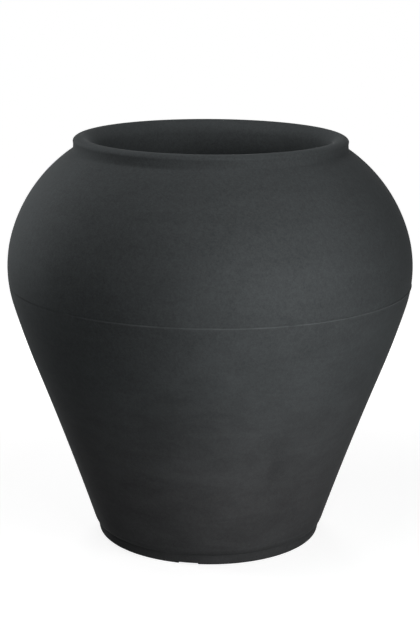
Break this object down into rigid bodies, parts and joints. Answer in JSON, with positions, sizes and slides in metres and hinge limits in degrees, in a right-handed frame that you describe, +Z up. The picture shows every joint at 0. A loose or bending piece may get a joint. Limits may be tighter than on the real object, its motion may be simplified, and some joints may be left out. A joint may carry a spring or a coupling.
{
  "type": "jar planter",
  "caption": "Squat charcoal jar planter with a full belly, low rolled rim, raised joint line, tapering wall and notched foot; a rubber plug closes its floor drain.",
  "frame": {"origin": "centre of the foot, on the ground", "axes": "+Z up along the jar's axis, -Y towards the front, where one drain notch lies just left of the middle"},
  "size_m": [0.5999, 0.6, 0.603],
  "materials": {
    "charcoal_plastic": "matte charcoal, fine sandy mould grain",
    "plug_rubber": "satin black rubber"
  },
  "bodies": {
    "jar": {"rim_ring": "charcoal_plastic", "shoulder_shell": "charcoal_plastic", "body_shell": "charcoal_plastic", "base_pan": "charcoal_plastic"},
    "plug": {"drain_plug": "plug_rubber"}
  },
  "joints": [
    {"name": "plug_lift", "type": "slide", "parent": "jar", "child": "plug", "axis": [0, 0, 1], "range_m": [0, 0.04]}
  ]
}
